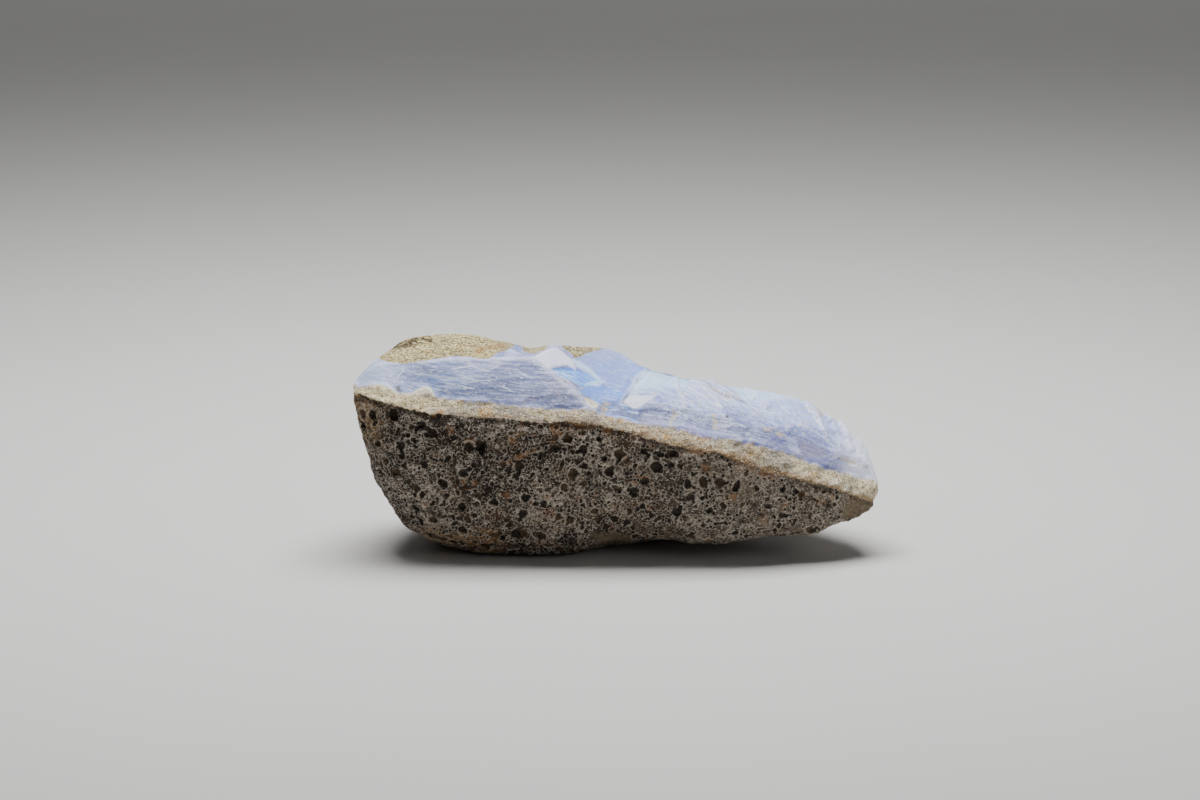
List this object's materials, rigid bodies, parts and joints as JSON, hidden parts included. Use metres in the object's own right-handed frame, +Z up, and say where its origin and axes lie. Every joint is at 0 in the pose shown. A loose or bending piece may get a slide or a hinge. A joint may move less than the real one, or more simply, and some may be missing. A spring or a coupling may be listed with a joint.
{
  "type": "blue lace agate",
  "caption": "Rough natural stone: dark pitted host rock under a thin tan contact band and broken, faceted pale blue chalcedony, resting on a small flat spot.",
  "frame": {"origin": "middle of the stone's box, on the surface it rests on", "axes": "+X along the length to the thin end, +Y away from the front face, +Z up"},
  "size_m": [0.0964, 0.0376, 0.0389],
  "materials": {
    "stone": "rough broken stone"
  },
  "bodies": {
    "root": {"blue_lace_agate": "stone"}
  },
  "joints": []
}
